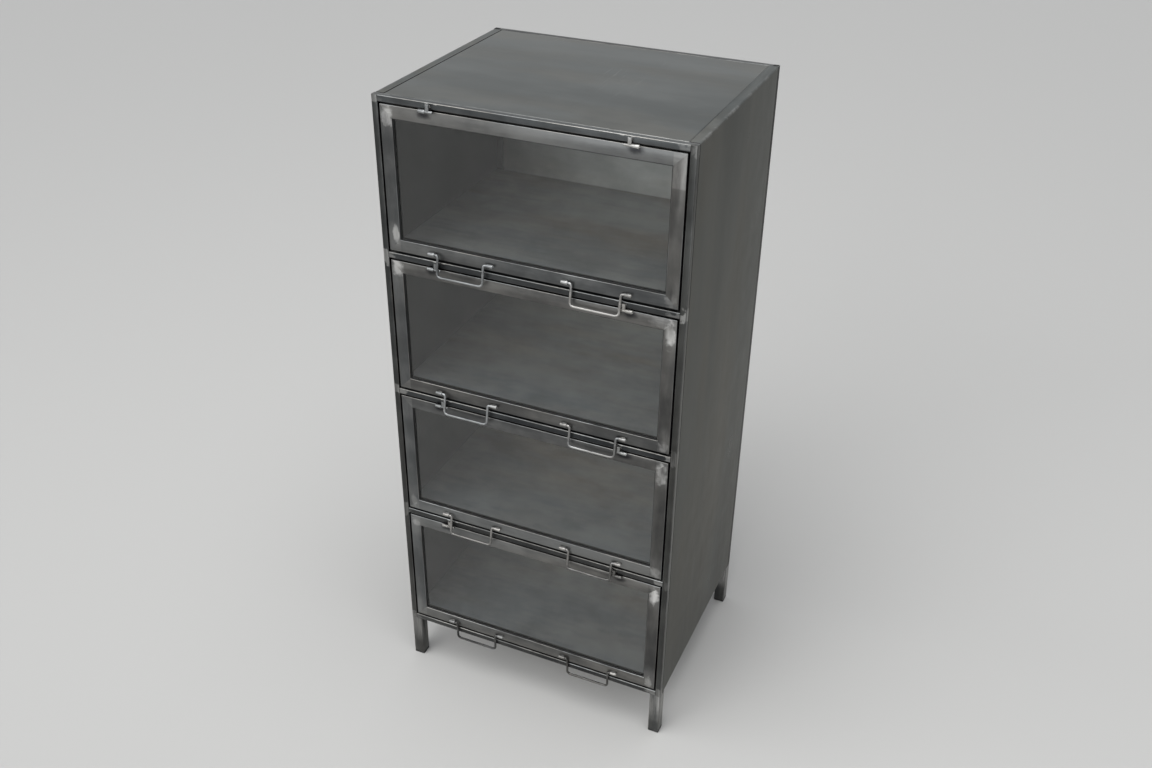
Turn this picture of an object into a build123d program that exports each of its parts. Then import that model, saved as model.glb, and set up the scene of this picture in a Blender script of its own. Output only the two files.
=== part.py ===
"""Tall steel cabinet with four top-hung glazed doors, in millimetres.

+Z is up and the doors face -Y. The origin is the middle of the footprint, on the floor.
"""

import os
from math import cos, radians, sin

from build123d import *

os.makedirs("parts", exist_ok=True)

# Carcass
width = 500.0
depth = 400.0
bar = 10.0  # square bar of the front and rear frames
bar_edge = 0.6
door_count = 4
opening_height = 240.0  # clear height between two front rails
sheet = 1.2
fold_radius = 2.4
side_flange = 15.0
top_fold = 12.0
stop_thickness = 3.0
stop_rise = 12.0  # height of a door stop above its shelf

# Legs and their plastic glides
leg_height = 90.0
leg_width = 20.0
leg_wall = 1.5
leg_edge = 1.2
glide_flange = 5.0
glide_plug = 12.0
glide_clearance = 0.2
glide_edge = 0.8

# Doors: a mitred frame of open-backed channel round a pane
side_gap = 3.0
top_gap = 2.8
bottom_gap = 4.2
door_depth = 9.5
face_width = 20.0
channel_wall = 1.5
pane_thickness = 3.0
pane_clearance = 0.5
seal_width = 1.5
seal_depth = 1.5
seal_recess = 2.0  # the seal lies this far behind the face of the door
bead_width = 2.0  # the bead fills the channel's depth behind the pane

# Hinges: an upright stem on the rail carries a pin, and a barrel on the door turns on it
rod_sides = 12  # flats that stand for the round outside of wire and barrels
axis_out = 3.2  # the hinge and handle axes stand this far in front of the doors
barrel_radius = 3.0
barrel_length = 11.0
bore_radius = 2.06
weld_width = 2.4
weld_drop = 1.4  # a hinge barrel's weld sits below the axis, on the door's top edge
hinge_x = 158.8  # inner end of a hinge barrel
pin_radius = 2.0
pin_inner_x = 147.0
pin_recess = 0.8
stem_x = 155.4
stem_width = 6.0
stem_depth = 4.4
stem_edge = 1.2
stem_bottom = 1.2  # above the hinge axis, where the stem is coped over the pin
stem_top = 11.0
stem_weld_length = 7.0
stem_weld_bottom = 3.2

# Handles: loose wire bails, turned out at both ends into barrels on the door
handle_x = 111.5
handle_span = 78.0
handle_drop = 34.5
handle_rise = 8.5  # handle axis above the door's bottom edge
wire_radius = 2.0
elbow_radius = 3.5
bend_radius = 6.0
bend_steps = 3  # straight lengths that make up one bend
handle_barrel_offset = 5.5
rest_tilt = 10.2  # degrees a handle leans out on the hinge pins below it

pitch = opening_height + bar
height = leg_height + bar + door_count * pitch
reach = axis_out + handle_drop * sin(radians(rest_tilt)) + wire_radius
front = (reach - depth) / 2
rear = front + depth
middle = (front + rear) / 2
axis_y = front - axis_out
upright = height - leg_height
door_width = width - 2 * bar - 2 * side_gap
door_height = opening_height - top_gap - bottom_gap
pane_width = door_width - 2 * face_width
pane_height = door_height - 2 * face_width
inner_width = width - 2 * side_flange
sides = (("left", -1), ("right", 1))
doors = range(1, door_count + 1)


def sill(door):
    """Top of the rail and shelf below a door, counted from the top door down."""
    return leg_height + bar + (door_count - door) * pitch


def door_top(door):
    """Height of a door's top edge, which is also its hinge axis."""
    return sill(door) + bottom_gap + door_height


def door_middle(door):
    """Height of the middle of a door."""
    return sill(door) + bottom_gap + door_height / 2


def handle_axis(door):
    """Height of the axis that a door's handles turn on."""
    return sill(door) + bottom_gap + handle_rise


def facing(y):
    """An upright plane at depth y that looks out of the front."""
    return Plane.XZ.offset(-y)


def save(piece, label):
    """Label a finished piece and write it as its own node."""
    piece.part.label = label
    export_step(piece.part, f"parts/{label}.step")


def square_bar(label, centre, length, along):
    """A length of the frame's square bar, its long edges eased."""
    with BuildPart() as piece:
        with Locations(centre):
            Box(*(length if axis == along else bar for axis in (Axis.X, Axis.Y, Axis.Z)))
        chamfer(piece.edges().filter_by(along), bar_edge)
    save(piece, label)


def folded_panel(label, centre, size, outward):
    """A sheet panel with its four edges folded back from its outer side."""
    with BuildPart() as panel:
        with Locations(centre):
            Box(*size)
        fillet(panel.faces().sort_by(outward)[-1].edges(), fold_radius)
        offset(amount=-sheet, openings=panel.faces().sort_by(outward)[0])
    save(panel, label)


def bend(corner, into, out, radius):
    """Points round a square bend in a wire, entered along into and left along out."""
    turns = [radians(90 * step / bend_steps) for step in range(bend_steps + 1)]
    return [corner + into * (radius * (sin(turn) - 1)) + out * (radius * (1 - cos(turn))) for turn in turns]


# Front and rear frames of square bar
for place, y in (("front", front + bar / 2), ("rear", rear - bar / 2)):
    for side, sign in sides:
        x = sign * (width - bar) / 2
        square_bar(f"{place}_post_{side}", (x, y, leg_height + upright / 2), upright, Axis.Z)

rail_length = width - 2 * bar
for door in doors:
    rail = "top_front_rail" if door == 1 else f"front_rail_{door - 1}"
    square_bar(rail, (0, front + bar / 2, sill(door) + pitch - bar / 2), rail_length, Axis.X)
square_bar("bottom_front_rail", (0, front + bar / 2, leg_height + bar / 2), rail_length, Axis.X)
square_bar("top_rear_rail", (0, rear - bar / 2, height - bar / 2), rail_length, Axis.X)
square_bar("bottom_rear_rail", (0, rear - bar / 2, leg_height + bar / 2), rail_length, Axis.X)

# Legs of square tube, and the glides plugged into them
leg_places = {
    f"{place}_leg_{side}": (sign * (width - leg_width) / 2, y)
    for place, y in (("front", front + leg_width / 2), ("rear", rear - leg_width / 2))
    for side, sign in sides
}
for label, centre in leg_places.items():
    with BuildPart() as leg:
        with BuildSketch(Plane.XY.offset(glide_flange)):
            with Locations(centre):
                outline = Rectangle(leg_width, leg_width)
                chamfer(outline.vertices(), leg_edge)
                Rectangle(leg_width - 2 * leg_wall, leg_width - 2 * leg_wall, mode=Mode.SUBTRACT)
        extrude(amount=leg_height - glide_flange)
    save(leg, label)

plug_width = leg_width - 2 * leg_wall - 2 * glide_clearance
with BuildPart() as glides:
    with BuildSketch() as outline:
        with Locations(*leg_places.values()):
            Rectangle(leg_width, leg_width)
        chamfer(outline.vertices(), leg_edge)
    extrude(amount=glide_flange)
    chamfer(glides.faces().group_by(Axis.Z)[0].edges(), glide_edge)
    with BuildSketch(Plane.XY.offset(glide_flange)):
        with Locations(*leg_places.values()):
            Rectangle(plug_width, plug_width)
    extrude(amount=glide_plug)
save(glides, "leg_glides")

# Folded sheet: two sides, the top, three shelves and the bottom
panel_depth = depth - 2 * bar
for side, sign in sides:
    folded_panel(
        f"side_panel_{side}",
        (sign * (width - side_flange) / 2, middle, leg_height + upright / 2),
        (side_flange, panel_depth, upright),
        Axis((0, 0, 0), (sign, 0, 0)),
    )
folded_panel(
    "top_panel",
    (0, middle, height - top_fold / 2),
    (inner_width, panel_depth, top_fold),
    Axis.Z,
)

shelf_front = front + bar + stop_thickness
shelf_rear = rear - bar - sheet
shelf_fold = bar - sheet
for door in doors:
    folded_panel(
        "bottom_panel" if door == door_count else f"shelf_{door}",
        (0, (shelf_front + shelf_rear) / 2, sill(door) - shelf_fold / 2),
        (width - 2 * fold_radius, shelf_rear - shelf_front, shelf_fold),
        Axis.Z,
    )

with BuildPart() as back_panel:
    with BuildSketch(facing(rear - bar)):
        with Locations((0, (leg_height + height - top_fold) / 2)):
            Rectangle(inner_width, upright - top_fold)
    extrude(amount=sheet)
save(back_panel, "back_panel")

# Flat bar behind each rail that carries the shelf and stops the door above
for door in doors:
    with BuildPart() as stop:
        with BuildSketch(facing(front + bar + stop_thickness)):
            with Locations((0, sill(door) + (stop_rise - bar) / 2)):
                Rectangle(inner_width, stop_rise + bar)
        extrude(amount=stop_thickness)
    save(stop, f"door_stop_{door}")

# Hinge pins and stems on the frame
pin_length = hinge_x + barrel_length - pin_recess - pin_inner_x
with BuildPart() as pins:
    for door in doors:
        for side, sign in sides:
            with BuildSketch(Plane.YZ.offset(sign * pin_inner_x)):
                with Locations((axis_y, door_top(door))):
                    Circle(pin_radius)
            extrude(amount=sign * pin_length)
save(pins, "hinge_pins")

with BuildPart() as stems:
    for door in doors:
        for side, sign in sides:
            with BuildSketch(Plane.XY.offset(door_top(door) + stem_bottom)):
                with Locations((sign * stem_x, axis_y)):
                    outline = Rectangle(stem_width, stem_depth)
                    chamfer(outline.vertices(), stem_edge)
            extrude(amount=stem_top - stem_bottom)
            with BuildSketch(Plane.XY.offset(door_top(door) + stem_weld_bottom)):
                with Locations((sign * stem_x, front - axis_out / 2)):
                    Rectangle(weld_width, axis_out)
            extrude(amount=stem_weld_length)
            with BuildSketch(Plane.YZ.offset(sign * pin_inner_x)):
                with Locations((axis_y, door_top(door))):
                    Circle(pin_radius)
            extrude(amount=sign * pin_length, mode=Mode.SUBTRACT)
save(stems, "hinge_stems")

# Doors
half_span = handle_span / 2
handle_barrel_x = half_span + handle_barrel_offset
pane_front = front + seal_recess + seal_depth
pane_rear = pane_front + pane_thickness
for door in doors:
    with BuildPart() as frame:
        with BuildSketch(facing(front + door_depth)):
            with Locations((0, door_middle(door))):
                Rectangle(door_width, door_height)
                Rectangle(pane_width, pane_height, mode=Mode.SUBTRACT)
        extrude(amount=door_depth)
        with BuildSketch(facing(front + door_depth)):
            with Locations((0, door_middle(door))):
                Rectangle(door_width - 2 * channel_wall, door_height - 2 * channel_wall)
                Rectangle(
                    pane_width + 2 * channel_wall,
                    pane_height + 2 * channel_wall,
                    mode=Mode.SUBTRACT,
                )
        extrude(amount=door_depth - channel_wall, mode=Mode.SUBTRACT)
    save(frame, f"door_{door}_frame")

    with BuildPart() as pane:
        with BuildSketch(facing(pane_rear)):
            with Locations((0, door_middle(door))):
                Rectangle(pane_width - 2 * pane_clearance, pane_height - 2 * pane_clearance)
        extrude(amount=pane_thickness)
    save(pane, f"door_{door}_glass")

    with BuildPart() as seal:
        with BuildSketch(facing(pane_front)):
            with Locations((0, door_middle(door))):
                Rectangle(pane_width, pane_height)
                Rectangle(pane_width - 2 * seal_width, pane_height - 2 * seal_width, mode=Mode.SUBTRACT)
        extrude(amount=seal_depth)
    save(seal, f"door_{door}_seal")

    with BuildPart() as bead:
        with BuildSketch(facing(front + door_depth)):
            with Locations((0, door_middle(door))):
                Rectangle(pane_width, pane_height)
                Rectangle(pane_width - 2 * bead_width, pane_height - 2 * bead_width, mode=Mode.SUBTRACT)
        extrude(amount=front + door_depth - pane_rear)
    save(bead, f"door_{door}_glass_bead")

    barrels_at = [(sign * (hinge_x + barrel_length / 2), door_top(door), weld_drop) for side, sign in sides]
    for side, sign in sides:
        for end in (-1, 1):
            x = sign * handle_x + end * (handle_barrel_x + barrel_length / 2)
            barrels_at.append((x, handle_axis(door), 0))
    with BuildPart() as barrels:
        for x, z, drop in barrels_at:
            with BuildSketch(Plane.YZ.offset(x - barrel_length / 2)):
                with Locations((axis_y, z)):
                    RegularPolygon(barrel_radius, rod_sides)
                with Locations((front - axis_out / 2, z - drop)):
                    Rectangle(axis_out, weld_width)
                with Locations((axis_y, z)):
                    Circle(bore_radius, mode=Mode.SUBTRACT)
            extrude(amount=barrel_length)
    save(barrels, f"door_{door}_barrels")

# Handles
right = Vector(1, 0)
down = Vector(0, -1)
stub_end = Vector(handle_barrel_x + barrel_length - pin_recess, 0)
bottom = Vector(0, -handle_drop)
wire_route = [
    -stub_end,
    *bend(right * -half_span, right, down, elbow_radius),
    *bend(right * -half_span + bottom, down, right, bend_radius),
    *bend(right * half_span + bottom, right, -down, bend_radius),
    *bend(right * half_span, -down, right, elbow_radius),
    stub_end,
]
for door in doors:
    tilt = radians(0 if door == door_count else rest_tilt)
    for side, sign in sides:
        hanging = Plane(
            origin=(sign * handle_x, axis_y, handle_axis(door)),
            x_dir=(1, 0, 0),
            z_dir=(0, -cos(tilt), sin(tilt)),
        )
        with BuildPart() as handle:
            with BuildLine(hanging) as wire:
                Polyline(*map(tuple, wire_route))
            with BuildSketch(Plane(origin=wire.line @ 0, z_dir=wire.line % 0)):
                RegularPolygon(wire_radius, rod_sides)
            sweep(transition=Transition.RIGHT)
        save(handle, f"handle_{door}_{side}")
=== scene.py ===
import math

import bpy
from mathutils import Matrix, Vector


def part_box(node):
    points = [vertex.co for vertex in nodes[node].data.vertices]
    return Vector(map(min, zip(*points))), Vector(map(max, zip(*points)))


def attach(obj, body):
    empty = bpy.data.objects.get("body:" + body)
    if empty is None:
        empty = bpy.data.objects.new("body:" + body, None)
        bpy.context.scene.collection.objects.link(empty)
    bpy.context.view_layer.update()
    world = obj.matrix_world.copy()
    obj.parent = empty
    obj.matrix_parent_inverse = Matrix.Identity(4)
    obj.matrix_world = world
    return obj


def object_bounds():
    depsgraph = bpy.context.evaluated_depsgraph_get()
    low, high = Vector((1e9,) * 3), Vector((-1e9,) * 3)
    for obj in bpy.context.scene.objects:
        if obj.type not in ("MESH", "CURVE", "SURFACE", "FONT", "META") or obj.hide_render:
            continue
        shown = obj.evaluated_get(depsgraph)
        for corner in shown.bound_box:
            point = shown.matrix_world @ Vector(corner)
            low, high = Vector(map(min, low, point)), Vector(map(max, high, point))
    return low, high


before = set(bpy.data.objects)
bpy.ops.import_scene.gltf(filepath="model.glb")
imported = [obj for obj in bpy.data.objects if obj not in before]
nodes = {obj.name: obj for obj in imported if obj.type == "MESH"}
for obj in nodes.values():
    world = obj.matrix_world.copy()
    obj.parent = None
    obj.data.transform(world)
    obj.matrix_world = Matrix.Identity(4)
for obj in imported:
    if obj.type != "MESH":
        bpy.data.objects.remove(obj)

cad_low, cad_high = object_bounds()


# Frame bars
# Two rectangles of 10 mm square steel bar, front and rear, welded at the joints and ground flush.
# The steel is left dark under clear lacquer, so old mill marks, brushing and bright grinding show.

def node_to(tree, kind, place, **settings):
    """Add a shader node with its settings, at a column and a row of its tree."""
    node = tree.nodes.new(kind)
    column, row = place
    node.location = (column * 200, row * -180)
    for name, value in settings.items():
        setattr(node, name, value)
    return node


def math_to(tree, place, operation, first, second=None, third=None):
    """Add a Math node that works on links or plain numbers, and return its output."""
    node = node_to(tree, "ShaderNodeMath", place, operation=operation)
    for socket, value in zip(node.inputs, (first, second, third)):
        if isinstance(value, bpy.types.NodeSocket):
            tree.links.new(value, socket)
        elif value is not None:
            socket.default_value = value
    return node.outputs[0]


def split_to(tree, place, vector):
    """Split a vector into its three outputs."""
    node = node_to(tree, "ShaderNodeSeparateXYZ", place)
    tree.links.new(vector, node.inputs[0])
    return node.outputs


def fade_to(tree, place, value, start, end):
    """Add a smooth step that is 0 at start and 1 at end, and return its output."""
    node = node_to(tree, "ShaderNodeMapRange", place, interpolation_type="SMOOTHSTEP")
    tree.links.new(value, node.inputs["Value"])
    node.inputs["From Min"].default_value = start
    node.inputs["From Max"].default_value = end
    return node.outputs["Result"]


def noise_to(tree, place, vector, scale, detail=4.0, roughness=0.55):
    """Add a noise pattern on a vector, and return its value."""
    node = node_to(tree, "ShaderNodeTexNoise", place)
    node.inputs["Scale"].default_value = scale
    node.inputs["Detail"].default_value = detail
    node.inputs["Roughness"].default_value = roughness
    tree.links.new(vector, node.inputs["Vector"])
    return node.outputs["Fac"]


def lacquered_steel_group():
    """The look that all the dark steel shares: blotches, brushing, grinding and fine scratches."""
    group = bpy.data.node_groups.new("lacquered_steel", "ShaderNodeTree")
    sockets = group.interface
    for name in ("Vector", "Along"):
        sockets.new_socket(name, in_out="INPUT", socket_type="NodeSocketVector")
    for name in ("Dark", "Light", "Ground"):
        sockets.new_socket(name, in_out="INPUT", socket_type="NodeSocketColor")
    for name in ("Ground Mask", "Dim Mask", "Grain", "Gloss"):
        sockets.new_socket(name, in_out="INPUT", socket_type="NodeSocketFloat")
    sockets.new_socket("Color", in_out="OUTPUT", socket_type="NodeSocketColor")
    for name in ("Roughness", "Height"):
        sockets.new_socket(name, in_out="OUTPUT", socket_type="NodeSocketFloat")
    given = node_to(group, "NodeGroupInput", (0, 0))
    result = node_to(group, "NodeGroupOutput", (11, 0))

    brushed = node_to(group, "ShaderNodeVectorMath", (1, 2), operation="MULTIPLY")
    group.links.new(given.outputs["Vector"], brushed.inputs[0])
    group.links.new(given.outputs["Along"], brushed.inputs[1])

    blotch = noise_to(group, (2, 0), brushed.outputs[0], scale=9.0, detail=4.0, roughness=0.55)
    cloud = noise_to(group, (2, 1), given.outputs["Vector"], scale=22.0, detail=3.0, roughness=0.5)
    streak = noise_to(group, (2, 2), brushed.outputs[0], scale=90.0, detail=5.0, roughness=0.65)
    hair = noise_to(group, (2, 3), brushed.outputs[0], scale=900.0, detail=3.0, roughness=0.7)

    blotch_share = 0.8
    cloud_share = 0.35
    mixed = math_to(group, (3, 1), "MULTIPLY", blotch, blotch_share)
    mixed = math_to(group, (3, 0), "MULTIPLY_ADD", cloud, cloud_share, mixed)
    about_mean = math_to(group, (3, 2), "SUBTRACT", streak, 0.5)
    mixed = math_to(group, (4, 0), "MULTIPLY_ADD", about_mean, given.outputs["Grain"], mixed)
    tone = fade_to(group, (5, 0), mixed, 0.41, 0.75)
    tint = node_to(group, "ShaderNodeMix", (6, 0), data_type="RGBA")
    group.links.new(tone, tint.inputs["Factor"])
    group.links.new(given.outputs["Dark"], tint.inputs["A"])
    group.links.new(given.outputs["Light"], tint.inputs["B"])

    cool_cast = (0.97, 1.00, 1.02, 1)
    warm_cast = (1.03, 1.00, 0.96, 1)
    cast = node_to(group, "ShaderNodeMix", (6, 1), data_type="RGBA")
    cast.inputs["A"].default_value = cool_cast
    cast.inputs["B"].default_value = warm_cast
    warmth = noise_to(group, (4, 3), brushed.outputs[0], scale=12.0, detail=3.0, roughness=0.5)
    group.links.new(fade_to(group, (5, 3), warmth, 0.40, 0.62), cast.inputs["Factor"])
    stained = node_to(group, "ShaderNodeMix", (7, 1), data_type="RGBA", blend_type="MULTIPLY")
    stained.inputs["Factor"].default_value = 1.0
    group.links.new(tint.outputs["Result"], stained.inputs["A"])
    group.links.new(cast.outputs["Result"], stained.inputs["B"])

    drawn = fade_to(group, (4, 2), streak, 0.28, 0.66)
    rubbed = math_to(group, (5, 2), "MULTIPLY", given.outputs["Ground Mask"], drawn)
    ground = node_to(group, "ShaderNodeMix", (8, 0), data_type="RGBA")
    group.links.new(rubbed, ground.inputs["Factor"])
    group.links.new(stained.outputs["Result"], ground.inputs["A"])
    group.links.new(given.outputs["Ground"], ground.inputs["B"])
    # The Dim Mask multiplies the colour darker: mostly painted shade, on faces that look into the cabinet,
    # under rails and on edges turned from the light.
    dimming_tint = (0.20, 0.20, 0.22, 1)
    dimmed = node_to(group, "ShaderNodeMix", (9, 0), data_type="RGBA", blend_type="MULTIPLY")
    dimmed.inputs["B"].default_value = dimming_tint
    group.links.new(given.outputs["Dim Mask"], dimmed.inputs["Factor"])
    group.links.new(ground.outputs["Result"], dimmed.inputs["A"])
    group.links.new(dimmed.outputs["Result"], result.inputs["Color"])

    cloud_dulls = 0.16
    streak_dulls = 0.10
    grinding_dulls = 0.10
    uneven = math_to(group, (6, 3), "MULTIPLY_ADD", cloud, cloud_dulls, given.outputs["Gloss"])
    uneven = math_to(group, (7, 3), "MULTIPLY_ADD", streak, streak_dulls, uneven)
    uneven = math_to(group, (8, 3), "MULTIPLY_ADD", rubbed, grinding_dulls, uneven)
    group.links.new(uneven, result.inputs["Roughness"])
    hair_depth = 0.35
    relief = math_to(group, (7, 4), "MULTIPLY_ADD", hair, hair_depth, streak)
    group.links.new(relief, result.inputs["Height"])
    return group


lacquered_steel = lacquered_steel_group()
BLUE_DARK = (0.020, 0.022, 0.024, 1)
GROUND_BRIGHT = (0.38, 0.377, 0.365, 1)


def steel(
    name, along, dark, light, grain=0.35, gloss=0.22, coat=0.15, metal=0.85, edge=1.0, bump=0.00001,
    ground=GROUND_BRIGHT, mask=None, dim=None,
):
    """A material of lacquered steel.

    along draws the brushing out, longest on the axis with the smallest number. mask says where the
    steel is ground bright, and dim where it is painted darker, mostly as painted shade. An edge under 1
    holds down the reflection at grazing angles.
    """
    material = bpy.data.materials.new(name)
    material.use_nodes = True
    tree = material.node_tree
    shader = tree.nodes["Principled BSDF"]
    shader.inputs["Metallic"].default_value = metal
    shader.inputs["Coat Weight"].default_value = coat
    shader.inputs["Coat Roughness"].default_value = 0.12
    shader.inputs["Specular Tint"].default_value = (edge, edge, edge * 0.97, 1)
    where = node_to(tree, "ShaderNodeTexCoord", (-6, 0))
    look = node_to(tree, "ShaderNodeGroup", (-2, 0), name="look", node_tree=lacquered_steel)
    look.inputs["Along"].default_value = along
    look.inputs["Dark"].default_value = dark
    look.inputs["Light"].default_value = light
    look.inputs["Ground"].default_value = ground
    look.inputs["Grain"].default_value = grain
    look.inputs["Gloss"].default_value = gloss
    tree.links.new(where.outputs["Object"], look.inputs["Vector"])
    if mask:
        tree.links.new(mask(tree, where), look.inputs["Ground Mask"])
    if dim:
        tree.links.new(dim(tree, where), look.inputs["Dim Mask"])
    dent = node_to(tree, "ShaderNodeBump", (-1, 2))
    dent.inputs["Strength"].default_value = 1.0
    dent.inputs["Distance"].default_value = bump
    tree.links.new(look.outputs["Height"], dent.inputs["Height"])
    tree.links.new(look.outputs["Color"], shader.inputs["Base Color"])
    tree.links.new(look.outputs["Roughness"], shader.inputs["Roughness"])
    tree.links.new(dent.outputs["Normal"], shader.inputs["Normal"])
    return material


def not_upward(tree, where):
    """The edges that face down, and half as much the upright ones: painted shade where less light falls."""
    facing = split_to(tree, (-5, 3), where.outputs["Normal"])
    return fade_to(tree, (-4, 3), facing["Z"], 0.45, -0.45)


# Brighter steel for the rounded edges of the dark bars: worn edges, and a painted highlight along them.
arris_steel = steel("arris_steel", (1, 1, 1), (0.04, 0.04, 0.04, 1), (0.16, 0.16, 0.155, 1), gloss=0.20)
# The upper rounded edges of the rails and doors: worn, with a painted highlight; those facing down take
# painted shade.
worn_arris_highlight = steel(
    "worn_arris_highlight", (1, 1, 1), (0.13, 0.13, 0.127, 1), (0.36, 0.36, 0.35, 1), gloss=0.20, dim=not_upward
)


def dress(name, material, edge=0.0005, arris=arris_steel):
    """Give a node its finish, and round its edges a little so that they catch the light."""
    node = nodes[name]
    node.data.materials.clear()
    node.data.materials.append(material)
    node.data.materials.append(arris)
    weld = node.modifiers.new("weld", "WELD")
    weld.merge_threshold = 0.00001
    round_off = node.modifiers.new("round_off", "BEVEL")
    round_off.width = edge
    round_off.segments = 2
    round_off.limit_method = "ANGLE"
    round_off.angle_limit = math.radians(40)
    round_off.harden_normals = True
    round_off.material = 1
    node.data.polygons.foreach_set("use_smooth", [True] * len(node.data.polygons))


door_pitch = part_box("front_rail_1")[0].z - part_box("front_rail_2")[0].z
rail_height = (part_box("front_rail_3")[0].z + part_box("front_rail_3")[1].z) / 2
opening_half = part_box("front_rail_1")[1].x
top_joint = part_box("top_front_rail")[0].z
fainter_above = top_joint - 0.04
full_below = top_joint - 0.06
ground_up_post = 0.020
ground_along_rail = 0.022


def from_nearest(tree, place, height, level):
    """The height of a point above the nearest of the levels that repeat from door to door."""
    offset = math_to(tree, place, "SUBTRACT", height, level)
    column, row = place
    return math_to(tree, (column + 1, row), "WRAP", offset, door_pitch / 2, -door_pitch / 2)


def near_rail(tree, where):
    """Grinding with a torn edge where the rails meet the posts, fainter at the top of the frame."""
    parts = split_to(tree, (-9, 0), where.outputs["Object"])
    offset = from_nearest(tree, (-9, 1), parts["Z"], rail_height)
    from_rail = math_to(tree, (-8, 2), "ABSOLUTE", offset)
    up_post = math_to(tree, (-7, 1), "MULTIPLY", from_rail, 1 / ground_up_post)
    outward = math_to(tree, (-9, 3), "ABSOLUTE", parts["X"])
    inward = math_to(tree, (-8, 3), "SUBTRACT", opening_half, outward)
    along_rail = math_to(tree, (-7, 3), "MULTIPLY", inward, 1 / ground_along_rail)
    reach = math_to(tree, (-6, 2), "MAXIMUM", up_post, along_rail)
    torn = noise_to(tree, (-7, 4), where.outputs["Object"], scale=60.0, detail=3.0)
    torn_reach = math_to(tree, (-6, 3), "MULTIPLY_ADD", torn, 2.4, reach)
    patch = fade_to(tree, (-5, 2), torn_reach, 1.85, 1.60)
    lower_joint = fade_to(tree, (-6, 5), parts["Z"], fainter_above, full_below)
    at_top = 0.32
    lower_down = 0.60
    strength = math_to(tree, (-5, 5), "MULTIPLY_ADD", lower_joint, lower_down - at_top, at_top)
    return math_to(tree, (-4, 2), "MULTIPLY", patch, strength)


def inner_faces(tree, where):
    """The faces of a bar or sheet that look into the cabinet, which take painted shade."""
    parts = split_to(tree, (-9, 7), where.outputs["Object"])
    facing = split_to(tree, (-9, 8), where.outputs["Normal"])
    side = math_to(tree, (-8, 7), "SIGN", parts["X"])
    inward = math_to(tree, (-7, 7), "MULTIPLY", side, facing["X"])
    return fade_to(tree, (-6, 7), inward, -0.45, -0.75)


def underside(tree, where):
    """The underside of a rail, in painted shade behind the gap over the door."""
    facing = split_to(tree, (-9, 7), where.outputs["Normal"])
    return fade_to(tree, (-8, 7), facing["Z"], -0.45, -0.75)


# The faces of the posts that look into the cabinet take painted shade.
post_steel = steel(
    "post_steel", (1, 1, 0.05), (0.022, 0.0225, 0.022, 1), (0.066, 0.067, 0.064, 1),
    mask=near_rail, dim=inner_faces,
)
rail_steel = steel(
    "rail_steel", (0.05, 1, 1), BLUE_DARK, (0.060, 0.062, 0.063, 1), mask=near_rail, dim=underside
)
top_rail_steel = steel(
    "top_rail_steel", (0.05, 1, 1), (0.040, 0.042, 0.043, 1), (0.112, 0.116, 0.117, 1),
    mask=near_rail, dim=underside,
)
# Near-black steel: painted shade on the rear posts inside the cabinet, and dark lines along the edges of the
# sides.
dark_bar = steel("dark_bar", (1, 1, 0.2), (0.006, 0.006, 0.006, 1), (0.020, 0.020, 0.020, 1), gloss=0.35)
for name in nodes:
    if name.startswith("front_post"):
        dress(name, post_steel, edge=0.0003)
    elif name.startswith("rear_post"):
        dress(name, dark_bar)
    elif name == "top_front_rail":
        dress(name, top_rail_steel, edge=0.0004, arris=worn_arris_highlight)
    elif name.endswith("_rear_rail"):
        dress(name, rail_steel, edge=0.0004)
    elif name.endswith("_rail") or name.startswith("front_rail"):
        dress(name, rail_steel, edge=0.0004, arris=worn_arris_highlight)


# Legs
# Four short lengths of 20 mm square tube, welded under the corners of the frame.
# The weld at the top is ground back, which leaves a bright patch that fades down the leg.

leg_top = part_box("front_leg_left")[1].z
grinding_starts = leg_top - 0.045
grinding_full = leg_top + 0.005
grinding_wavers = 0.05


def below_weld(tree, where):
    """Bright grinding at the top of a leg, fainter on the left ones."""
    parts = split_to(tree, (-5, 0), where.outputs["Object"])
    uneven = noise_to(tree, (-5, 1), where.outputs["Object"], scale=30.0, detail=2.0)
    height = math_to(tree, (-4, 1), "MULTIPLY_ADD", uneven, grinding_wavers, parts["Z"])
    patch = fade_to(tree, (-3, 1), height, grinding_starts, grinding_full)
    rightward = math_to(tree, (-4, 2), "GREATER_THAN", parts["X"], 0.0)
    on_left = 0.45
    on_right = 0.95
    strength = math_to(tree, (-3, 2), "MULTIPLY_ADD", rightward, on_right - on_left, on_left)
    return math_to(tree, (-2, 1), "MULTIPLY", patch, strength)


leg_steel = steel(
    "leg_steel", (1, 1, 0.06), (0.026, 0.028, 0.029, 1), (0.088, 0.088, 0.085, 1), mask=below_weld
)
for name in nodes:
    if "_leg_" in name:
        dress(name, leg_steel, edge=0.0006)


# Glides
# Black moulded plastic caps plugged into the legs, so that the steel doesn't mark the floor.
# They have a dull moulded skin with a fine grain and a few paler scuffs.

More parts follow.
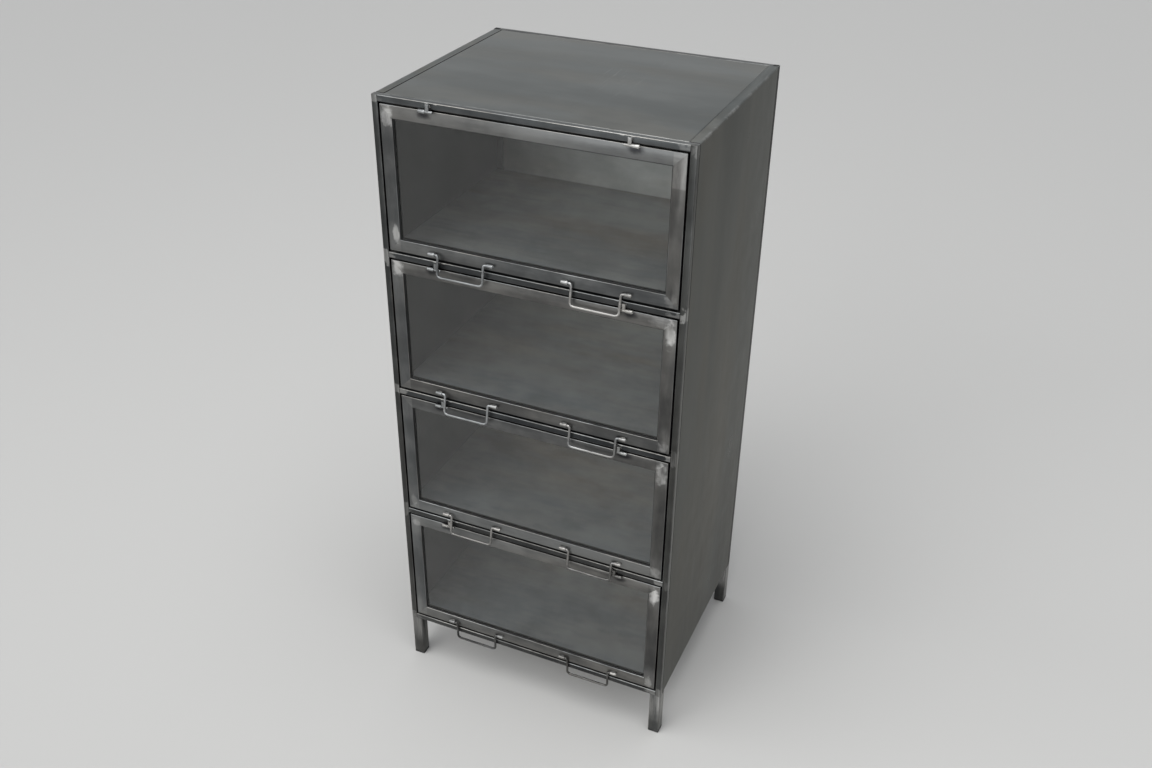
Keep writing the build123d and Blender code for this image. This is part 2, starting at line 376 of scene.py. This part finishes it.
def glide_plastic():
    """Dull black plastic with a fine grain and scuffs."""
    material = bpy.data.materials.new("glide_plastic")
    material.use_nodes = True
    tree = material.node_tree
    shader = tree.nodes["Principled BSDF"]
    where = node_to(tree, "ShaderNodeTexCoord", (-5, 0))
    grain = noise_to(tree, (-4, 0), where.outputs["Object"], scale=1500.0, detail=2.0)
    scuff = noise_to(tree, (-4, 1), where.outputs["Object"], scale=160.0, detail=4.0)
    shade = node_to(tree, "ShaderNodeMix", (-2, 0), data_type="RGBA")
    shade.inputs["A"].default_value = (0.008, 0.008, 0.008, 1)
    shade.inputs["B"].default_value = (0.035, 0.035, 0.034, 1)
    tree.links.new(fade_to(tree, (-3, 1), scuff, 0.45, 0.75), shade.inputs["Factor"])
    tree.links.new(shade.outputs["Result"], shader.inputs["Base Color"])
    tree.links.new(math_to(tree, (-2, 1), "MULTIPLY_ADD", scuff, 0.25, 0.40), shader.inputs["Roughness"])
    dent = node_to(tree, "ShaderNodeBump", (-1, 2))
    dent.inputs["Distance"].default_value = 0.0001
    tree.links.new(grain, dent.inputs["Height"])
    tree.links.new(dent.outputs["Normal"], shader.inputs["Normal"])
    return material


black_plastic = glide_plastic()
dress("leg_glides", black_plastic, edge=0.0003, arris=black_plastic)


# Sheet panels
# Folded 1.2 mm sheet steel: two sides, the top, the shelves, the bottom and a plain back.
# The lacquer over the sheet is smoother than over the bars, with soft brushing and a few scratches.

def few_scratches(tree, where):
    """Short straight scratches and rubs, far apart."""
    drawn = node_to(tree, "ShaderNodeMapping", (-6, 1))
    drawn.inputs["Rotation"].default_value = (0.4, 0.5, 0.9)
    drawn.inputs["Scale"].default_value = (1.0, 0.03, 0.03)
    tree.links.new(where.outputs["Object"], drawn.inputs["Vector"])
    lines = noise_to(tree, (-5, 1), drawn.outputs["Vector"], scale=620.0, detail=0.0)
    thin = fade_to(tree, (-4, 1), lines, 0.70, 0.78)
    spread = noise_to(tree, (-5, 2), where.outputs["Object"], scale=8.0, detail=1.0)
    here = fade_to(tree, (-4, 2), spread, 0.56, 0.66)
    strength = 0.35
    return math_to(tree, (-3, 1), "MULTIPLY", math_to(tree, (-3, 2), "MULTIPLY", thin, here), strength)


fold_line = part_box("top_panel")[0].y
fold_bright_ends = fold_line + 0.0024
fold_bright_full = fold_line + 0.0010


def worn_and_lit_fold(tree, where):
    """The front fold of the top, rubbed bright and painted with a highlight, most of all towards the right,
    over a few scratches.
    """
    parts = split_to(tree, (-8, 4), where.outputs["Object"])
    at_fold = fade_to(tree, (-7, 4), parts["Y"], fold_bright_ends, fold_bright_full)
    rightward = fade_to(tree, (-7, 5), parts["X"], -0.20, 0.15)
    on_left = 0.4
    on_right = 0.9
    share = math_to(tree, (-6, 6), "MULTIPLY_ADD", rightward, on_right - on_left, on_left)
    rubbed = math_to(tree, (-6, 5), "MULTIPLY", at_fold, share)
    return math_to(tree, (-2, 3), "MAXIMUM", rubbed, few_scratches(tree, where))


side_low, side_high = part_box("side_panel_left")
seam_width = 0.0022
seam_core = 0.0012
fold_width = 0.0050
fold_core = 0.0016
flange_starts = side_high.z - 0.0030
flange_full = side_high.z - 0.0002
SIDE_DARK = (0.064, 0.066, 0.062, 1)
SIDE_LIGHT = (0.112, 0.111, 0.103, 1)
FLANGE_DARK = (0.122, 0.127, 0.123, 1)
FLANGE_LIGHT = (0.205, 0.210, 0.201, 1)
TOP_DARK = (0.084, 0.089, 0.086, 1)
TOP_LIGHT = (0.138, 0.142, 0.136, 1)


def seams_and_inside(tree, where):
    """Darker along the seams at the front and rear edges of a side, and painted shade on its inner face."""
    parts = split_to(tree, (-9, 10), where.outputs["Object"])
    front = fade_to(tree, (-8, 10), parts["Y"], side_low.y + seam_width, side_low.y + seam_core)
    rear = fade_to(tree, (-8, 11), parts["Y"], side_high.y - seam_width, side_high.y - seam_core)
    seams = math_to(tree, (-7, 10), "MAXIMUM", front, rear)
    inside_share = 0.7
    inside = math_to(tree, (-6, 9), "MULTIPLY", inner_faces(tree, where), inside_share)
    return math_to(tree, (-5, 9), "MAXIMUM", seams, inside)


def rubbed_fold(tree, where):
    """The fold of a side onto its flange, rubbed bright in torn patches."""
    parts = split_to(tree, (-9, 17), where.outputs["Object"])
    outward = math_to(tree, (-8, 18), "ABSOLUTE", parts["X"])
    high = fade_to(tree, (-7, 17), parts["Z"], side_high.z - fold_width, side_high.z - fold_core)
    wide = fade_to(tree, (-7, 18), outward, cad_high.x - fold_width, cad_high.x - fold_core)
    torn = noise_to(tree, (-8, 19), where.outputs["Object"], scale=45.0, detail=4.0)
    patches = fade_to(tree, (-7, 19), torn, 0.46, 0.62)
    fold = math_to(tree, (-6, 17), "MULTIPLY", high, wide)
    strength = 0.5
    rubbed = math_to(tree, (-6, 19), "MULTIPLY", patches, strength)
    return math_to(tree, (-5, 17), "MULTIPLY", fold, rubbed)


side_sheet = steel(
    "side_sheet", (0.7, 0.7, 0.12), SIDE_DARK, SIDE_LIGHT, grain=0.12, gloss=0.19, coat=0.03, edge=0.64,
    bump=0.000001, mask=rubbed_fold, dim=seams_and_inside,
)


def second_tone(material, place, dark, light):
    """Blend a second pair of tones into a steel, where the given function puts them."""
    tree = material.node_tree
    look = tree.nodes["look"]
    share = place(tree, tree.nodes["Texture Coordinate"])
    for row, (tone, colour) in enumerate((("Dark", dark), ("Light", light))):
        blend = node_to(tree, "ShaderNodeMix", (-4, 14 + row), data_type="RGBA")
        blend.inputs["A"].default_value = look.inputs[tone].default_value
        blend.inputs["B"].default_value = colour
        for earlier in look.inputs[tone].links:
            tree.links.new(earlier.from_socket, blend.inputs["A"])
        tree.links.new(share, blend.inputs["Factor"])
        tree.links.new(blend.outputs["Result"], look.inputs[tone])


def on_flange(tree, where):
    """The flange of a side, which shows on the top of the cabinet."""
    parts = split_to(tree, (-6, 14), where.outputs["Object"])
    return fade_to(tree, (-5, 14), parts["Z"], flange_starts, flange_full)


def mill_stain(tree, where):
    """Patches of brown scale from the rolling mill, drawn out along the sheet."""
    drawn = node_to(tree, "ShaderNodeMapping", (-9, 16))
    drawn.inputs["Scale"].default_value = (0.3, 1.0, 1.0)
    tree.links.new(where.outputs["Object"], drawn.inputs["Vector"])
    scale_patches = noise_to(tree, (-8, 16), drawn.outputs["Vector"], scale=10.0, detail=4.0)
    return fade_to(tree, (-7, 16), scale_patches, 0.44, 0.66)


shelf_shade_starts = 0.11
shelf_shade_full = -0.07
shelf_shade_wavers = 0.12


def near_door(tree, where):
    """The front of a shelf, darker and cooler behind the door: painted shade."""
    parts = split_to(tree, (-9, 18), where.outputs["Object"])
    uneven = noise_to(tree, (-8, 18), where.outputs["Object"], scale=7.0, detail=3.0)
    depth = math_to(tree, (-7, 18), "MULTIPLY_ADD", uneven, shelf_shade_wavers, parts["Y"])
    return fade_to(tree, (-6, 18), depth, shelf_shade_starts, shelf_shade_full)


def outer_faces(tree, where):
    """The rear of the back panel and the undersides of the shelves and the bottom."""
    facing = split_to(tree, (-7, 14), where.outputs["Normal"])
    rearward = fade_to(tree, (-6, 14), facing["Y"], 0.3, 0.6)
    downward = fade_to(tree, (-6, 15), facing["Z"], -0.3, -0.6)
    return math_to(tree, (-5, 14), "MAXIMUM", rearward, downward)


second_tone(side_sheet, on_flange, FLANGE_DARK, FLANGE_LIGHT)
top_sheet = steel(
    "top_sheet", (0.30, 1, 1), TOP_DARK, TOP_LIGHT, grain=0.20, gloss=0.24, bump=0.000004, mask=worn_and_lit_fold
)
# The inner faces of the back and the shelves are painted far lighter than bare steel: painted light, for the
# light that falls in through the glass.
back_sheet = steel(
    "back_sheet", (0.25, 0.6, 0.8), (0.50, 0.50, 0.483, 1), (0.78, 0.775, 0.75, 1), grain=0.20, gloss=0.34,
    metal=0.45, bump=0.000002,
)
shelf_sheet = steel(
    "shelf_sheet", (0.26, 1.0, 1.0), (0.27, 0.274, 0.276, 1), (0.46, 0.46, 0.446, 1), grain=0.25, gloss=0.34,
    metal=0.45, bump=0.000002,
)
second_tone(shelf_sheet, mill_stain, (0.275, 0.245, 0.212, 1), (0.47, 0.430, 0.385, 1))
# A darker, cooler tone at the front of each shelf: painted shade behind the door.
second_tone(shelf_sheet, near_door, (0.205, 0.226, 0.241, 1), (0.370, 0.393, 0.409, 1))
# Their rear faces and undersides keep a dark steel tone.
for sheet in (back_sheet, shelf_sheet):
    second_tone(sheet, outer_faces, (0.022, 0.023, 0.023, 1), (0.062, 0.062, 0.058, 1))
sheet_edge = 0.0003
for name in ("side_panel_left", "side_panel_right"):
    dress(name, side_sheet, edge=sheet_edge, arris=dark_bar)
dress("top_panel", top_sheet, edge=sheet_edge)
dress("back_panel", back_sheet, edge=sheet_edge)
for name in ("shelf_1", "shelf_2", "shelf_3", "bottom_panel"):
    dress(name, shelf_sheet, edge=sheet_edge)


# Door stops
# Flat bar behind each rail: it carries the front of the shelf, and the door above closes on it.
# It is the same dark steel as the rails, brushed along its length.

GREY_LIGHT = (0.075, 0.075, 0.072, 1)
stop_steel = steel("stop_steel", (0.05, 1, 1), BLUE_DARK, GREY_LIGHT)
for name in nodes:
    if name.startswith("door_stop"):
        dress(name, stop_steel, edge=0.0004)


# Hinge pins and stems
# A stem is a short upright bar, welded to the rail above the door and coped over a pin of round rod.
# The pin lies along the door's top edge. The steel is bright, with a darker skin left in places.

rod_steel = steel("rod_steel", (0.2, 1, 1), (0.09, 0.09, 0.09, 1), (0.42, 0.42, 0.415, 1), gloss=0.14)
for name in ("hinge_pins", "hinge_stems"):
    dress(name, rod_steel, edge=0.0003, arris=rod_steel)


# Welds
# Short beads of weld that hold the stems to the rails and tack the back into the rear frame.
# They are left as laid, lumpy and brighter than the bars round them.

weld_steel = steel(
    "weld_steel", (1, 1, 1), (0.05, 0.05, 0.05, 1), (0.30, 0.30, 0.295, 1), gloss=0.20, bump=0.00005
)

bpy.ops.object.select_all(action="DESELECT")
bpy.ops.mesh.primitive_uv_sphere_add(segments=16, ring_count=10, radius=1.0, location=(0, 0, 0))
weld_lump = bpy.context.active_object
weld_lump.name = "weld_lump"
bpy.ops.object.mode_set(mode="EDIT")
bpy.ops.mesh.select_all(action="SELECT")
bpy.ops.transform.vertex_random(offset=0.22, uniform=0.3, normal=0.7, seed=5)
bpy.ops.mesh.vertices_smooth(factor=0.5, repeat=1)
bpy.ops.object.mode_set(mode="OBJECT")
bpy.ops.object.shade_smooth()


def weld_row(name, places, body):
    """Lay one copy of the lump at each place, stretched to its size, as a single piece."""
    bpy.ops.object.select_all(action="DESELECT")
    for count, (place, size) in enumerate(places):
        lump = weld_lump.copy()
        lump.data = weld_lump.data.copy()
        bpy.context.scene.collection.objects.link(lump)
        lump.location = place
        lump.scale = size
        lump.rotation_euler = (count * 0.9 % 0.5, 0, 0)
        lump.select_set(True)
        bpy.context.view_layer.objects.active = lump
    bpy.ops.object.join()
    bpy.ops.object.transform_apply(location=True, rotation=True, scale=True)
    row = bpy.context.active_object
    row.name = name
    row.data.materials.clear()
    row.data.materials.append(weld_steel)
    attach(row, body)


front_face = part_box("front_rail_1")[0].y
stem_half_width = 0.003
stem_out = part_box("hinge_stems")[1].x - stem_half_width
bead_out = stem_half_width + 0.0004
bead_size = (0.0011, 0.0013, 0.0034)
bead_rise = 0.0045
bead_proud = 0.0004
top_bead_outs = (stem_out - 0.0119, stem_out + 0.0031)
top_bead_size = (0.0042, 0.0011, 0.0009)
top_bead_drop = 0.0013
top_bead_sunk = 0.0006
stem_places = []
for name in ("top_front_rail", "front_rail_1", "front_rail_2", "front_rail_3"):
    rail_low, rail_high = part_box(name)
    for side in (-1, 1):
        for gap in (-bead_out, bead_out):
            place = (side * stem_out + gap, front_face - bead_proud, rail_low.z + bead_rise)
            stem_places.append((place, bead_size))
        for out in top_bead_outs:
            place = (side * out, front_face + top_bead_sunk, rail_high.z - top_bead_drop)
            stem_places.append((place, top_bead_size))
weld_row("hinge_welds", stem_places, "cabinet")

back_low, back_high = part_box("back_panel")
tack_size = (0.0016, 0.0010, 0.0038)
tack_proud = 0.0002
tack_count = 5
end_gap = 0.06
tack_pitch = (back_high.z - back_low.z - 2 * end_gap) / (tack_count - 1)
tack_places = []
for side in (back_low.x, back_high.x):
    for step in range(tack_count):
        height = back_low.z + end_gap + step * tack_pitch
        tack_places.append(((side, back_high.y + tack_proud, height), tack_size))
weld_row("back_tacks", tack_places, "cabinet")


# Doors
# A frame of folded channel, mitred, welded and ground at the corners, hung on two barrels.
# The brushing runs along each bar, and the ground corners show bright patches that differ from door to door.

door_low, door_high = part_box("door_4_frame")
door_half_width = door_high.x
door_half_height = (door_high.z - door_low.z) / 2
door_mid = (door_high.z + door_low.z) / 2
face_width = 0.020
inner_edge = door_half_width - face_width


def ground_patch_group():
    """One patch ground bright, with a torn edge, at a place on a door and of a given half size."""
    group = bpy.data.node_groups.new("ground_patch", "ShaderNodeTree")
    sockets = group.interface
    sockets.new_socket("Vector", in_out="INPUT", socket_type="NodeSocketVector")
    sockets.new_socket("Place", in_out="INPUT", socket_type="NodeSocketVector")
    sockets.new_socket("Shrink", in_out="INPUT", socket_type="NodeSocketVector")
    sockets.new_socket("Strength", in_out="INPUT", socket_type="NodeSocketFloat")
    sockets.new_socket("Mask", in_out="OUTPUT", socket_type="NodeSocketFloat")
    given = node_to(group, "NodeGroupInput", (0, 0))
    result = node_to(group, "NodeGroupOutput", (6, 0))
    away = node_to(group, "ShaderNodeVectorMath", (1, 0), operation="SUBTRACT")
    group.links.new(given.outputs["Vector"], away.inputs[0])
    group.links.new(given.outputs["Place"], away.inputs[1])
    squeezed = node_to(group, "ShaderNodeVectorMath", (2, 0), operation="MULTIPLY")
    group.links.new(away.outputs["Vector"], squeezed.inputs[0])
    group.links.new(given.outputs["Shrink"], squeezed.inputs[1])
    reach = node_to(group, "ShaderNodeVectorMath", (3, 0), operation="LENGTH")
    group.links.new(squeezed.outputs["Vector"], reach.inputs[0])
    torn = noise_to(group, (3, 1), given.outputs["Vector"], scale=85.0, detail=3.0)
    edge = math_to(group, (4, 0), "MULTIPLY_ADD", torn, 2.0, reach.outputs["Value"])
    patch = fade_to(group, (5, 0), edge, 2.25, 1.50)
    rubbed = math_to(group, (5, 1), "MULTIPLY", patch, given.outputs["Strength"])
    group.links.new(rubbed, result.inputs["Mask"])
    return group


ground_patch = ground_patch_group()

# Each patch: door, side, end, inset from the side, inset from the end, half width, half height, strength
PATCHES = (
    (1, -1, 1, 0.011, 0.014, 0.010, 0.016, 0.90),
    (1, -1, -1, 0.013, 0.028, 0.006, 0.015, 0.65),
    (1, 1, -1, 0.010, 0.014, 0.010, 0.012, 0.30),
    (2, -1, 1, 0.011, 0.014, 0.011, 0.014, 0.80),
    (2, 1, 1, 0.011, 0.025, 0.009, 0.020, 0.90),
    (2, 1, 1, 0.020, 0.009, 0.018, 0.009, 0.35),
    (2, 1, -1, 0.010, 0.012, 0.009, 0.011, 0.40),
    (3, -1, -1, 0.010, 0.016, 0.007, 0.012, 0.40),
    (3, 1, 1, 0.010, 0.022, 0.009, 0.018, 0.85),
    (3, 1, -1, 0.010, 0.012, 0.009, 0.010, 0.42),
    (4, -1, 1, 0.010, 0.014, 0.008, 0.012, 0.40),
    (4, 1, 1, 0.011, 0.020, 0.010, 0.020, 0.92),
    (4, 1, -1, 0.010, 0.014, 0.008, 0.012, 0.45),
)

haze_length = 0.056
haze_core = 0.030
haze_strength = 0.12
dressed_length = 0.053
dressed_core = 0.050
dressed_strength = 0.24


def ground_corners(tree, where):
    """Ground corners: a haze on all, bright patches on some, and the top right one dressed all over."""
    point = where.outputs["Object"]
    parts = split_to(tree, (-12, 0), point)
    upward = math_to(tree, (-11, 2), "ABSOLUTE", from_nearest(tree, (-12, 1), parts["Z"], door_mid))
    outward = math_to(tree, (-11, 3), "ABSOLUTE", parts["X"])
    at_end = fade_to(tree, (-10, 1), upward, door_half_height - haze_length, door_half_height - haze_core)
    at_side = fade_to(tree, (-10, 2), outward, inner_edge - 0.001, inner_edge + 0.002)
    hazed = math_to(tree, (-9, 2), "MULTIPLY", at_end, at_side)
    ground = math_to(tree, (-9, 1), "MULTIPLY", hazed, haze_strength)
    rightward = fade_to(tree, (-10, 4), parts["X"], inner_edge - 0.001, inner_edge + 0.001)
    first_top = door_mid + 3 * door_pitch + door_half_height
    high_up = fade_to(tree, (-10, 5), parts["Z"], first_top - dressed_length, first_top - dressed_core)
    dressed = math_to(tree, (-9, 5), "MULTIPLY", rightward, high_up)
    dressed = math_to(tree, (-9, 4), "MULTIPLY", dressed, dressed_strength)
    ground = math_to(tree, (-8, 3), "MAXIMUM", ground, dressed)
    for count, (door, side, end, inset, drop, half_width, half_height, strength) in enumerate(PATCHES):
        level = door_mid + (4 - door) * door_pitch + end * (door_half_height - drop)
        patch = node_to(tree, "ShaderNodeGroup", (count - 8, 5), node_tree=ground_patch)
        patch.inputs["Place"].default_value = (side * (door_half_width - inset), 0, level)
        patch.inputs["Shrink"].default_value = (1 / half_width, 0, 1 / half_height)
        patch.inputs["Strength"].default_value = strength
        tree.links.new(point, patch.inputs["Vector"])
        ground = math_to(tree, (count - 7, 3), "MAXIMUM", ground, patch.outputs["Mask"])
    return ground


barrel_spot_out = 0.164
barrel_spot_drop = 0.006
barrel_spot_wavers = 0.006
barrel_spot_ends = 0.012
barrel_spot_core = 0.005


def barrel_spot_and_edge_shade(tree, where):
    """Steel darker under each hinge barrel, and painted shade on the faces of the frame that turn away from
    the front.
    """
    parts = split_to(tree, (-8, 6), where.outputs["Object"])
    offset = from_nearest(tree, (-8, 7), parts["Z"], door_mid)
    below = math_to(tree, (-6, 7), "SUBTRACT", offset, door_half_height - barrel_spot_drop)
    outward = math_to(tree, (-8, 8), "ABSOLUTE", parts["X"])
    aside = math_to(tree, (-7, 8), "SUBTRACT", outward, barrel_spot_out)
    stretch = 0.55
    across = math_to(tree, (-6, 8), "MULTIPLY", aside, stretch)
    square = math_to(tree, (-5, 8), "MULTIPLY", across, across)
    near = math_to(tree, (-4, 7), "SQRT", math_to(tree, (-5, 7), "MULTIPLY_ADD", below, below, square))
    ragged = noise_to(tree, (-5, 10), where.outputs["Object"], scale=120.0, detail=3.0)
    reach = math_to(tree, (-4, 8), "MULTIPLY_ADD", ragged, barrel_spot_wavers, near)
    barrel_spot = fade_to(tree, (-3, 7), reach, barrel_spot_ends, barrel_spot_core)
    # Painted shade on the faces that turn away from the front: the top and bottom in the gaps, and the sides
    # round the glass.
    facing = split_to(tree, (-6, 11), where.outputs["Normal"])
    edges = fade_to(tree, (-4, 11), math_to(tree, (-5, 11), "ABSOLUTE", facing["Y"]), 0.55, 0.25)
    return math_to(tree, (-2, 8), "MAXIMUM", barrel_spot, edges)


upright_brushing = (0.35, 1, 0.07)
level_brushing = (0.07, 1, 0.45)
door_steel = steel(
    "door_steel", upright_brushing, (0.066, 0.067, 0.068, 1), (0.172, 0.172, 0.168, 1), grain=0.48,
    ground=(0.60, 0.595, 0.58, 1), mask=ground_corners, dim=barrel_spot_and_edge_shade,
)


def brush_along_bars(tree):
    """Turn the brushing of a door frame at its mitres, so that it runs along each of the four bars."""
    where = tree.nodes["Texture Coordinate"]
    parts = split_to(tree, (-8, 13), where.outputs["Object"])
    upward = math_to(tree, (-6, 14), "ABSOLUTE", from_nearest(tree, (-8, 14), parts["Z"], door_mid))
    outward = math_to(tree, (-6, 13), "ABSOLUTE", parts["X"])
    from_end = math_to(tree, (-5, 14), "SUBTRACT", door_half_height, upward)
    from_side = math_to(tree, (-5, 13), "SUBTRACT", door_half_width, outward)
    turned = node_to(tree, "ShaderNodeMix", (-3, 13), data_type="VECTOR")
    turned.inputs["A"].default_value = upright_brushing
    turned.inputs["B"].default_value = level_brushing
    tree.links.new(math_to(tree, (-4, 13), "LESS_THAN", from_end, from_side), turned.inputs["Factor"])
    tree.links.new(turned.outputs["Result"], tree.nodes["look"].inputs["Along"])


def right_upright(tree, where):
    """The right-hand upright of a door, darker than the rest: painted shade."""
    parts = split_to(tree, (-7, 16), where.outputs["Object"])
    return fade_to(tree, (-6, 16), parts["X"], inner_edge - 0.002, inner_edge + 0.001)


brush_along_bars(door_steel.node_tree)
# Painted shade on the right-hand uprights.
second_tone(door_steel, right_upright, (0.046, 0.047, 0.048, 1), (0.122, 0.122, 0.119, 1))

half_barrel = 0.0055
hinge_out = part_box("door_1_barrels")[1].x - half_barrel
hinge_weld_drop = 0.0030
hinge_weld_size = (0.0048, 0.0010, 0.0009)
grip_middle = (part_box("handle_1_right")[0].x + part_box("handle_1_right")[1].x) / 2
grip_reach = 0.050
grip_rise = 0.0085
grip_weld_lift = 0.0016
grip_weld_size = (0.0046, 0.0010, 0.0008)
weld_face = front_face - 0.0005
for number in range(1, 5):
    dress(f"door_{number}_frame", door_steel, edge=0.0006, arris=worn_arris_highlight)
    dress(f"door_{number}_barrels", rod_steel, edge=0.0003, arris=rod_steel)
    dress(f"door_{number}_glass_bead", stop_steel, edge=0.0002)
    frame_low, frame_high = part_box(f"door_{number}_frame")
    barrel_places = []
    for side in (-1, 1):
        hinge_place = (side * hinge_out, weld_face, frame_high.z - hinge_weld_drop)
        barrel_places.append((hinge_place, hinge_weld_size))
        for end in (-1, 1):
            grip_x = side * grip_middle + end * grip_reach
            for lift in (-grip_weld_lift, grip_weld_lift):
                grip_place = (grip_x, weld_face, frame_low.z + grip_rise + lift)
                barrel_places.append((grip_place, grip_weld_size))
    weld_row(f"door_{number}_welds", barrel_places, f"door_{number}")
bpy.data.objects.remove(weld_lump)


# Glass and its seal
# Plain float glass, laid in from behind against a black seal that runs round the opening.
# A faint film of wiping marks keeps the glass from being perfectly clear.

def float_glass():
    """Clear glass with a faint film in its tint, which lets the light of the lamps through unbent."""
    material = bpy.data.materials.new("float_glass")
    material.use_nodes = True
    tree = material.node_tree
    shader = tree.nodes["Principled BSDF"]
    shader.inputs["Transmission Weight"].default_value = 1.0
    shader.inputs["IOR"].default_value = 1.52
    shader.inputs["Roughness"].default_value = 0.0
    where = node_to(tree, "ShaderNodeTexCoord", (-5, 0))
    film = noise_to(tree, (-4, 0), where.outputs["Object"], scale=11.0, detail=6.0, roughness=0.6)
    tint = node_to(tree, "ShaderNodeMix", (-2, 0), data_type="RGBA")
    tint.inputs["A"].default_value = (0.89, 0.90, 0.89, 1)
    tint.inputs["B"].default_value = (0.81, 0.82, 0.81, 1)
    tree.links.new(fade_to(tree, (-3, 0), film, 0.35, 0.65), tint.inputs["Factor"])
    tree.links.new(tint.outputs["Result"], shader.inputs["Base Color"])
    clear = node_to(tree, "ShaderNodeBsdfTransparent", (0, 2))
    clear.inputs["Color"].default_value = (0.88, 0.89, 0.88, 1)
    ray = node_to(tree, "ShaderNodeLightPath", (0, -2))
    unshaded = node_to(tree, "ShaderNodeMixShader", (2, 0))
    tree.links.new(ray.outputs["Is Shadow Ray"], unshaded.inputs["Fac"])
    tree.links.new(shader.outputs["BSDF"], unshaded.inputs[1])
    tree.links.new(clear.outputs["BSDF"], unshaded.inputs[2])
    tree.links.new(unshaded.outputs["Shader"], tree.nodes["Material Output"].inputs["Surface"])
    return material


def bead_rubber():
    """Black rubber with a dull skin, for the seals."""
    material = bpy.data.materials.new("bead_rubber")
    material.use_nodes = True
    tree = material.node_tree
    shader = tree.nodes["Principled BSDF"]
    where = node_to(tree, "ShaderNodeTexCoord", (-5, 0))
    skin = noise_to(tree, (-4, 0), where.outputs["Object"], scale=220.0, detail=4.0)
    shade = node_to(tree, "ShaderNodeMix", (-2, 0), data_type="RGBA")
    shade.inputs["A"].default_value = (0.004, 0.004, 0.004, 1)
    shade.inputs["B"].default_value = (0.016, 0.016, 0.016, 1)
    tree.links.new(skin, shade.inputs["Factor"])
    tree.links.new(shade.outputs["Result"], shader.inputs["Base Color"])
    tree.links.new(math_to(tree, (-2, 1), "MULTIPLY_ADD", skin, 0.2, 0.5), shader.inputs["Roughness"])
    return material


pane_glass = float_glass()
seal_rubber = bead_rubber()
for number in range(1, 5):
    nodes[f"door_{number}_glass"].data.materials.clear()
    nodes[f"door_{number}_glass"].data.materials.append(pane_glass)
    dress(f"door_{number}_seal", seal_rubber, arris=seal_rubber)


# Handles
# Loose bails of 4 mm steel wire, bent in a jig, whose turned-out ends run in barrels on the door.
# Handling keeps the wire brighter than the rest; the lowest handles are darker.

bright_above = 0.42
dark_below = 0.12


def lowest_handles(tree, where):
    """The lowest handles, which are given darker tones."""
    parts = split_to(tree, (-6, 14), where.outputs["Object"])
    return fade_to(tree, (-5, 14), parts["Z"], bright_above, dark_below)


wire_steel = steel(
    "wire_steel", (0.3, 1, 1), (0.11, 0.11, 0.11, 1), (0.40, 0.40, 0.40, 1), gloss=0.06, bump=0.000002
)
second_tone(wire_steel, lowest_handles, (0.035, 0.035, 0.035, 1), (0.14, 0.14, 0.138, 1))
for name in nodes:
    if name.startswith("handle_"):
        dress(name, wire_steel, edge=0.0003, arris=wire_steel)


# Floor, light and camera
# A plain pale floor under soft studio lamps, seen from where the photograph was taken.
# None of this belongs to the cabinet.

def floor_finish():
    """Plain pale paint."""
    material = bpy.data.materials.new("floor_paint")
    material.use_nodes = True
    shader = material.node_tree.nodes["Principled BSDF"]
    shader.inputs["Base Color"].default_value = (0.47, 0.466, 0.454, 1)
    shader.inputs["Roughness"].default_value = 0.8
    return material


bpy.ops.object.select_all(action="DESELECT")
bpy.ops.mesh.primitive_plane_add(size=400.0, location=(0, 0, 0))
floor = bpy.context.active_object
floor.name = "floor"
floor.data.materials.append(floor_finish())

world = bpy.data.worlds.new("studio")
bpy.context.scene.world = world
world.use_nodes = True
world.node_tree.nodes["Background"].inputs["Color"].default_value = (0.90, 0.92, 0.95, 1)
world.node_tree.nodes["Background"].inputs["Strength"].default_value = 0.66


def hang(light, place, spot, glare=True):
    """Hang a lamp at a place, pointed at a spot, so that the glass passes its light but doesn't show it.

    A lamp without glare lights dull surfaces and stays out of reflections.
    """
    hung = bpy.data.objects.new(light.name, light)
    hung.location = place
    hung.rotation_euler = (Vector(spot) - Vector(place)).to_track_quat("-Z", "Y").to_euler()
    hung.visible_transmission = False
    hung.visible_glossy = glare
    bpy.context.scene.collection.objects.link(hung)


key_lamp = bpy.data.lights.new("key_lamp", "SUN")
key_lamp.energy = 2.3
key_lamp.angle = math.radians(92)
hang(key_lamp, place=(-4.4, -6.4, 3.6), spot=(0, 0, 0.7))

inside_lamp = bpy.data.lights.new("inside_lamp", "SUN")
inside_lamp.energy = 1.6
inside_lamp.angle = math.radians(45)
hang(inside_lamp, place=(-2.6, -7.0, 2.9), spot=(0, 0, 0.7), glare=False)

top_lamp = bpy.data.lights.new("top_lamp", "AREA")
top_lamp.size = 2.0
top_lamp.energy = 50
hang(top_lamp, place=(0.3, -0.6, 3.6), spot=(0, 0, 0.5))

lens = bpy.data.cameras.new("camera")
lens.sensor_width = 36.0
lens.lens = 37.16
camera = bpy.data.objects.new("camera", lens)
camera_place = Vector((0.6981, -1.6232, 1.6475))
turned_left = math.radians(23.37)
looking_down = math.radians(31.57)
tilted = math.radians(0.79)
turn = Matrix.Rotation(turned_left, 4, "Z")
tip = Matrix.Rotation(math.radians(90) - looking_down, 4, "X")
roll = Matrix.Rotation(tilted, 4, "Z")
camera.matrix_world = Matrix.Translation(camera_place) @ turn @ tip @ roll
bpy.context.scene.collection.objects.link(camera)
bpy.context.scene.camera = camera
bpy.context.scene.view_settings.view_transform = "Standard"
